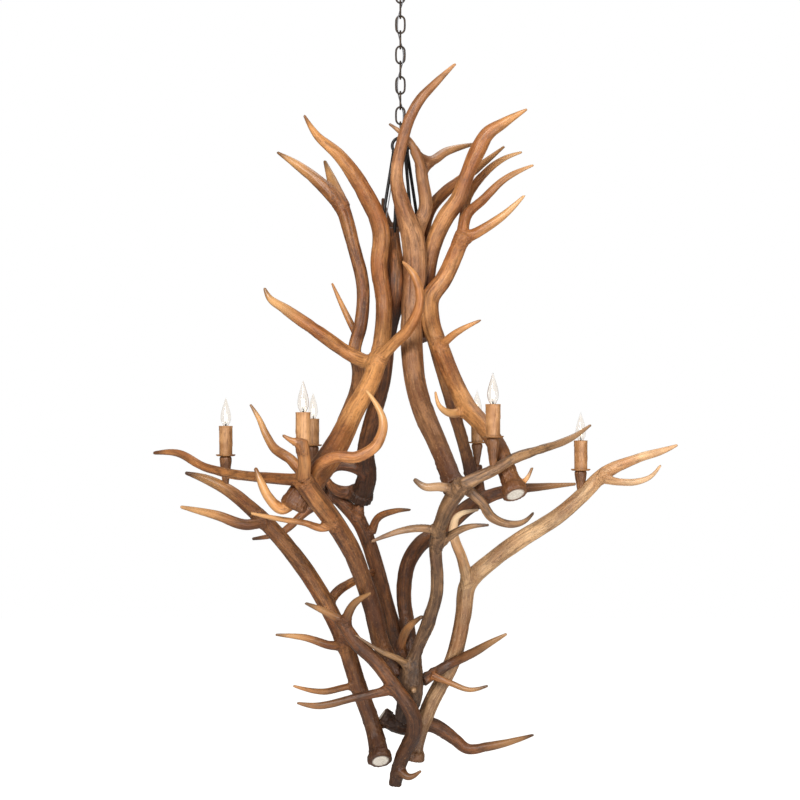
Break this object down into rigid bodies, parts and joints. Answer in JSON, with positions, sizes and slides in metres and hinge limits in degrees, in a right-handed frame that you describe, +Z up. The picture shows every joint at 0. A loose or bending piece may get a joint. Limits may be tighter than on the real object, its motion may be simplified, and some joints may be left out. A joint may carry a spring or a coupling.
{
  "type": "antler chandelier",
  "caption": "Tall chandelier of antlers screwed together in a narrow waisted cluster, hung by a ring and rods from a chain, with upright candle lamps on its lower tines.",
  "frame": {"origin": "on the ceiling, at the middle of the canopy and of the mounting strap's two slots", "axes": "+Z up, +X to the right and +Y away from the viewer of the picture"},
  "size_m": [1.3439, 0.8971, 2.1958],
  "materials": {
    "bronze": "satin",
    "black_steel": "satin",
    "plain_steel": "satin",
    "lamp_cord": "satin",
    "antler": "satin",
    "dark_antler": "satin",
    "candle_tan": "satin",
    "phenolic": "matte",
    "brass": "satin",
    "clear_glass": "gloss"
  },
  "bodies": {
    "ceiling_fitting": {"canopy": "bronze", "mounting_strap": "plain_steel", "nipple": "plain_steel", "lock_nuts": "plain_steel", "collar_loop": "bronze", "supply_cord": "lamp_cord"},
    "chain": {"chain_link_01": "bronze", "chain_link_02": "bronze", "chain_link_03": "bronze", "chain_link_04": "bronze", "chain_link_05": "bronze", "chain_link_06": "bronze", "chain_link_07": "bronze", "chain_link_08": "bronze", "chain_link_09": "bronze", "chain_link_10": "bronze", "chain_link_11": "bronze"},
    "antler_cluster": {"hanger": "black_steel", "antler_lower_left": "antler", "antler_lower_front_left": "antler", "antler_lower_back_left": "antler", "antler_lower_front_right": "antler", "antler_lower_right": "antler", "antler_lower_back_right": "antler", "antler_bottom_front": "antler", "antler_bottom_right": "antler", "antler_bottom_cross": "antler", "antler_upper_front_left": "antler", "antler_upper_back_left": "antler", "antler_upper_back": "antler", "antler_upper_front": "antler", "antler_upper_right": "antler", "antler_upper_right_outer": "antler", "antler_upper_back_right": "antler", "antler_screws": "plain_steel", "candle_cups": "dark_antler", "drip_rings": "dark_antler", "candle_sleeves": "candle_tan", "lamp_sockets": "phenolic", "candle_studs": "plain_steel"},
    "bulb_left": {"bulb_base_left": "brass", "bulb_glass_left": "clear_glass"},
    "bulb_right": {"bulb_base_right": "brass", "bulb_glass_right": "clear_glass"},
    "bulb_front_left": {"bulb_base_front_left": "brass", "bulb_glass_front_left": "clear_glass"},
    "bulb_front_right": {"bulb_base_front_right": "brass", "bulb_glass_front_right": "clear_glass"},
    "bulb_back_left": {"bulb_base_back_left": "brass", "bulb_glass_back_left": "clear_glass"},
    "bulb_back_right": {"bulb_base_back_right": "brass", "bulb_glass_back_right": "clear_glass"}
  },
  "joints": [
    {"name": "chain_swing", "type": "hinge", "parent": "ceiling_fitting", "child": "chain", "pos_m": [0, 0, -0.0865], "axis": [1, 0, 0], "range_deg": [-6, 6], "deforming": ["supply_cord"]},
    {"name": "cluster_swing", "type": "hinge", "parent": "chain", "child": "antler_cluster", "pos_m": [0, 0, -0.51755], "axis": [0, 1, 0], "range_deg": [-6, 6]},
    {"name": "bulb_left_turn", "type": "hinge", "parent": "antler_cluster", "child": "bulb_left", "pos_m": [-0.456, 0.035, -1.42055], "axis": [0, 0, 1], "range_deg": [0, 900]},
    {"name": "bulb_right_turn", "type": "hinge", "parent": "antler_cluster", "child": "bulb_right", "pos_m": [0.471, 0.035, -1.44155], "axis": [0, 0, 1], "range_deg": [0, 900]},
    {"name": "bulb_front_left_turn", "type": "hinge", "parent": "antler_cluster", "child": "bulb_front_left", "pos_m": [-0.228, -0.365, -1.38455], "axis": [0, 0, 1], "range_deg": [0, 900]},
    {"name": "bulb_front_right_turn", "type": "hinge", "parent": "antler_cluster", "child": "bulb_front_right", "pos_m": [0.217, -0.365, -1.36055], "axis": [0, 0, 1], "range_deg": [0, 900]},
    {"name": "bulb_back_left_turn", "type": "hinge", "parent": "antler_cluster", "child": "bulb_back_left", "pos_m": [-0.251, 0.435, -1.39355], "axis": [0, 0, 1], "range_deg": [0, 900]},
    {"name": "bulb_back_right_turn", "type": "hinge", "parent": "antler_cluster", "child": "bulb_back_right", "pos_m": [0.221, 0.435, -1.38755], "axis": [0, 0, 1], "range_deg": [0, 900]}
  ]
}
